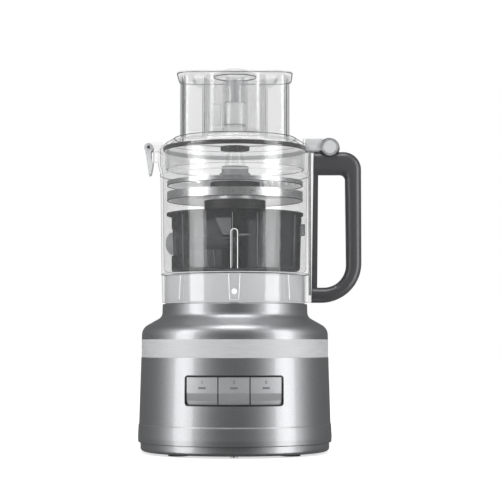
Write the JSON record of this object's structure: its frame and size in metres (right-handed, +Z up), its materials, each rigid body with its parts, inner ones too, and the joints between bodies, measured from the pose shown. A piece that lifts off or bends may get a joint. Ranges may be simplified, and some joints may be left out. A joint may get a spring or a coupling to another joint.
{
  "type": "food processor",
  "caption": "Food processor with a round silver base, paddle buttons, clear handled bowl with stored discs and blades, hinged clear lid, side latch and nested feed pushers.",
  "frame": {"origin": "centre of the whole footprint, handle included, on the table", "axes": "+Z up along the bowl's axis, +X towards the handle, -Y towards the person at the buttons"},
  "size_m": [0.2514, 0.2176, 0.432],
  "materials": {
    "silver_paint": "satin metallic paint on a moulded shell",
    "trim_metal": "brushed",
    "button_plastic": "satin metallic plastic",
    "lamp": "frosted",
    "dark_plastic": "fine moulded grain",
    "handle_plastic": "soft-touch",
    "rubber": "matt",
    "gasket_rubber": "silicone",
    "clear_plastic": "polished clear copolyester",
    "smoke_plastic": "translucent smoke",
    "grey_plastic": "moulded",
    "blade_steel": "stainless, ground",
    "steel": "plated",
    "pulley_aluminium": "turned",
    "copper": "enamelled wire",
    "board": "laminate"
  },
  "bodies": {
    "base": {"base_housing": "silver_paint", "trim_band": "trim_metal", "bottom_cover": "dark_plastic", "foot_1": "rubber", "foot_2": "rubber", "foot_3": "rubber", "foot_4": "rubber", "housing_screws": "steel", "cord_gland": "dark_plastic", "button_bezel": "dark_plastic", "switch_board": "board", "button_switches": "board", "chassis_plate": "steel", "motor_stator": "steel", "motor_mount": "steel", "motor_bracket": "steel", "motor_windings": "copper", "motor_screws": "steel", "drive_belt": "rubber", "bearing_upper": "steel", "bearing_lower": "steel"},
    "button_left": {"button_left": "button_plastic", "lamp_left": "lamp"},
    "button_middle": {"button_middle": "button_plastic", "lamp_middle": "lamp"},
    "button_right": {"button_right": "button_plastic", "lamp_right": "lamp"},
    "motor": {"motor_rotor": "steel", "motor_fan": "dark_plastic", "motor_pulley": "pulley_aluminium"},
    "spindle": {"drive_spindle": "steel", "driven_pulley": "pulley_aluminium"},
    "bowl": {"bowl": "clear_plastic", "skirt_screw": "steel", "handle_grip": "handle_plastic", "hinge_pin": "clear_plastic", "caddy_body": "smoke_plastic", "caddy_lid": "smoke_plastic", "storage_post": "smoke_plastic", "post_collar": "grey_plastic", "post_knob": "dark_plastic", "post_stem": "clear_plastic", "shredder_rim": "grey_plastic", "shredding_disc": "blade_steel", "shredder_hub": "dark_plastic", "disc_carrier": "dark_plastic", "slicing_disc": "blade_steel", "slicing_blade": "blade_steel", "blade_hub": "dark_plastic", "chopping_blades": "blade_steel"},
    "rod": {"interlock_rod": "steel"},
    "lid": {"lid_cover": "clear_plastic", "lid_gasket": "gasket_rubber", "latch_pin": "steel"},
    "latch": {"lid_latch": "clear_plastic"},
    "large_pusher": {"large_pusher": "clear_plastic"},
    "medium_pusher": {"medium_pusher": "clear_plastic"},
    "small_pusher": {"small_pusher": "clear_plastic", "pusher_cap": "clear_plastic", "pusher_sleeve": "blade_steel"}
  },
  "joints": [
    {"name": "bowl_lift", "type": "slide", "parent": "base", "child": "bowl", "axis": [0, 0, 1], "range_m": [0, 0.08]},
    {"name": "lid_hinge", "type": "hinge", "parent": "bowl", "child": "lid", "pos_m": [0.09, 0, 0.343], "axis": [0, 1, 0], "range_deg": [0, 95]},
    {"name": "interlock_slide", "type": "slide", "parent": "bowl", "child": "rod", "axis": [0, 0, 1], "range_m": [0, 0.0031]},
    {"name": "latch_hinge", "type": "hinge", "parent": "lid", "child": "latch", "pos_m": [-0.1146, 0, 0.343], "axis": [0, 1, 0], "range_deg": [0, 60]},
    {"name": "large_pusher_slide", "type": "slide", "parent": "lid", "child": "large_pusher", "axis": [0, 0, 1], "range_m": [0, 0.1]},
    {"name": "medium_pusher_slide", "type": "slide", "parent": "large_pusher", "child": "medium_pusher", "axis": [0, 0, 1], "range_m": [0, 0.08]},
    {"name": "small_pusher_slide", "type": "slide", "parent": "medium_pusher", "child": "small_pusher", "axis": [0, 0, 1], "range_m": [0, 0.07]},
    {"name": "motor_spin", "type": "hinge", "parent": "base", "child": "motor", "pos_m": [-0.017, 0.056, 0.06], "axis": [0, 0, 1], "continuous": true},
    {"name": "spindle_spin", "type": "hinge", "parent": "base", "child": "spindle", "pos_m": [-0.017, 0, 0.06], "axis": [0, 0, 1], "continuous": true},
    {"name": "button_left_press", "type": "hinge", "parent": "base", "child": "button_left", "pos_m": [-0.0511, -0.095, 0.0853], "axis": [1, 0, 0], "range_deg": [0, 3.5], "stiffness_Nm_per_rad": 1, "springref_deg": -2.86},
    {"name": "button_middle_press", "type": "hinge", "parent": "base", "child": "button_middle", "pos_m": [-0.017, -0.1026, 0.0853], "axis": [1, 0, 0], "range_deg": [0, 3.5], "stiffness_Nm_per_rad": 1, "springref_deg": -2.86},
    {"name": "button_right_press", "type": "hinge", "parent": "base", "child": "button_right", "pos_m": [0.0171, -0.095, 0.0853], "axis": [1, 0, 0], "range_deg": [0, 3.5], "stiffness_Nm_per_rad": 1, "springref_deg": -2.86}
  ],
  "couplings": [
    {"joint": "spindle_spin", "follows": "motor_spin", "ratio": 0.21053},
    {"joint": "interlock_slide", "follows": "lid_hinge", "m_per_rad": 0.0018}
  ]
}
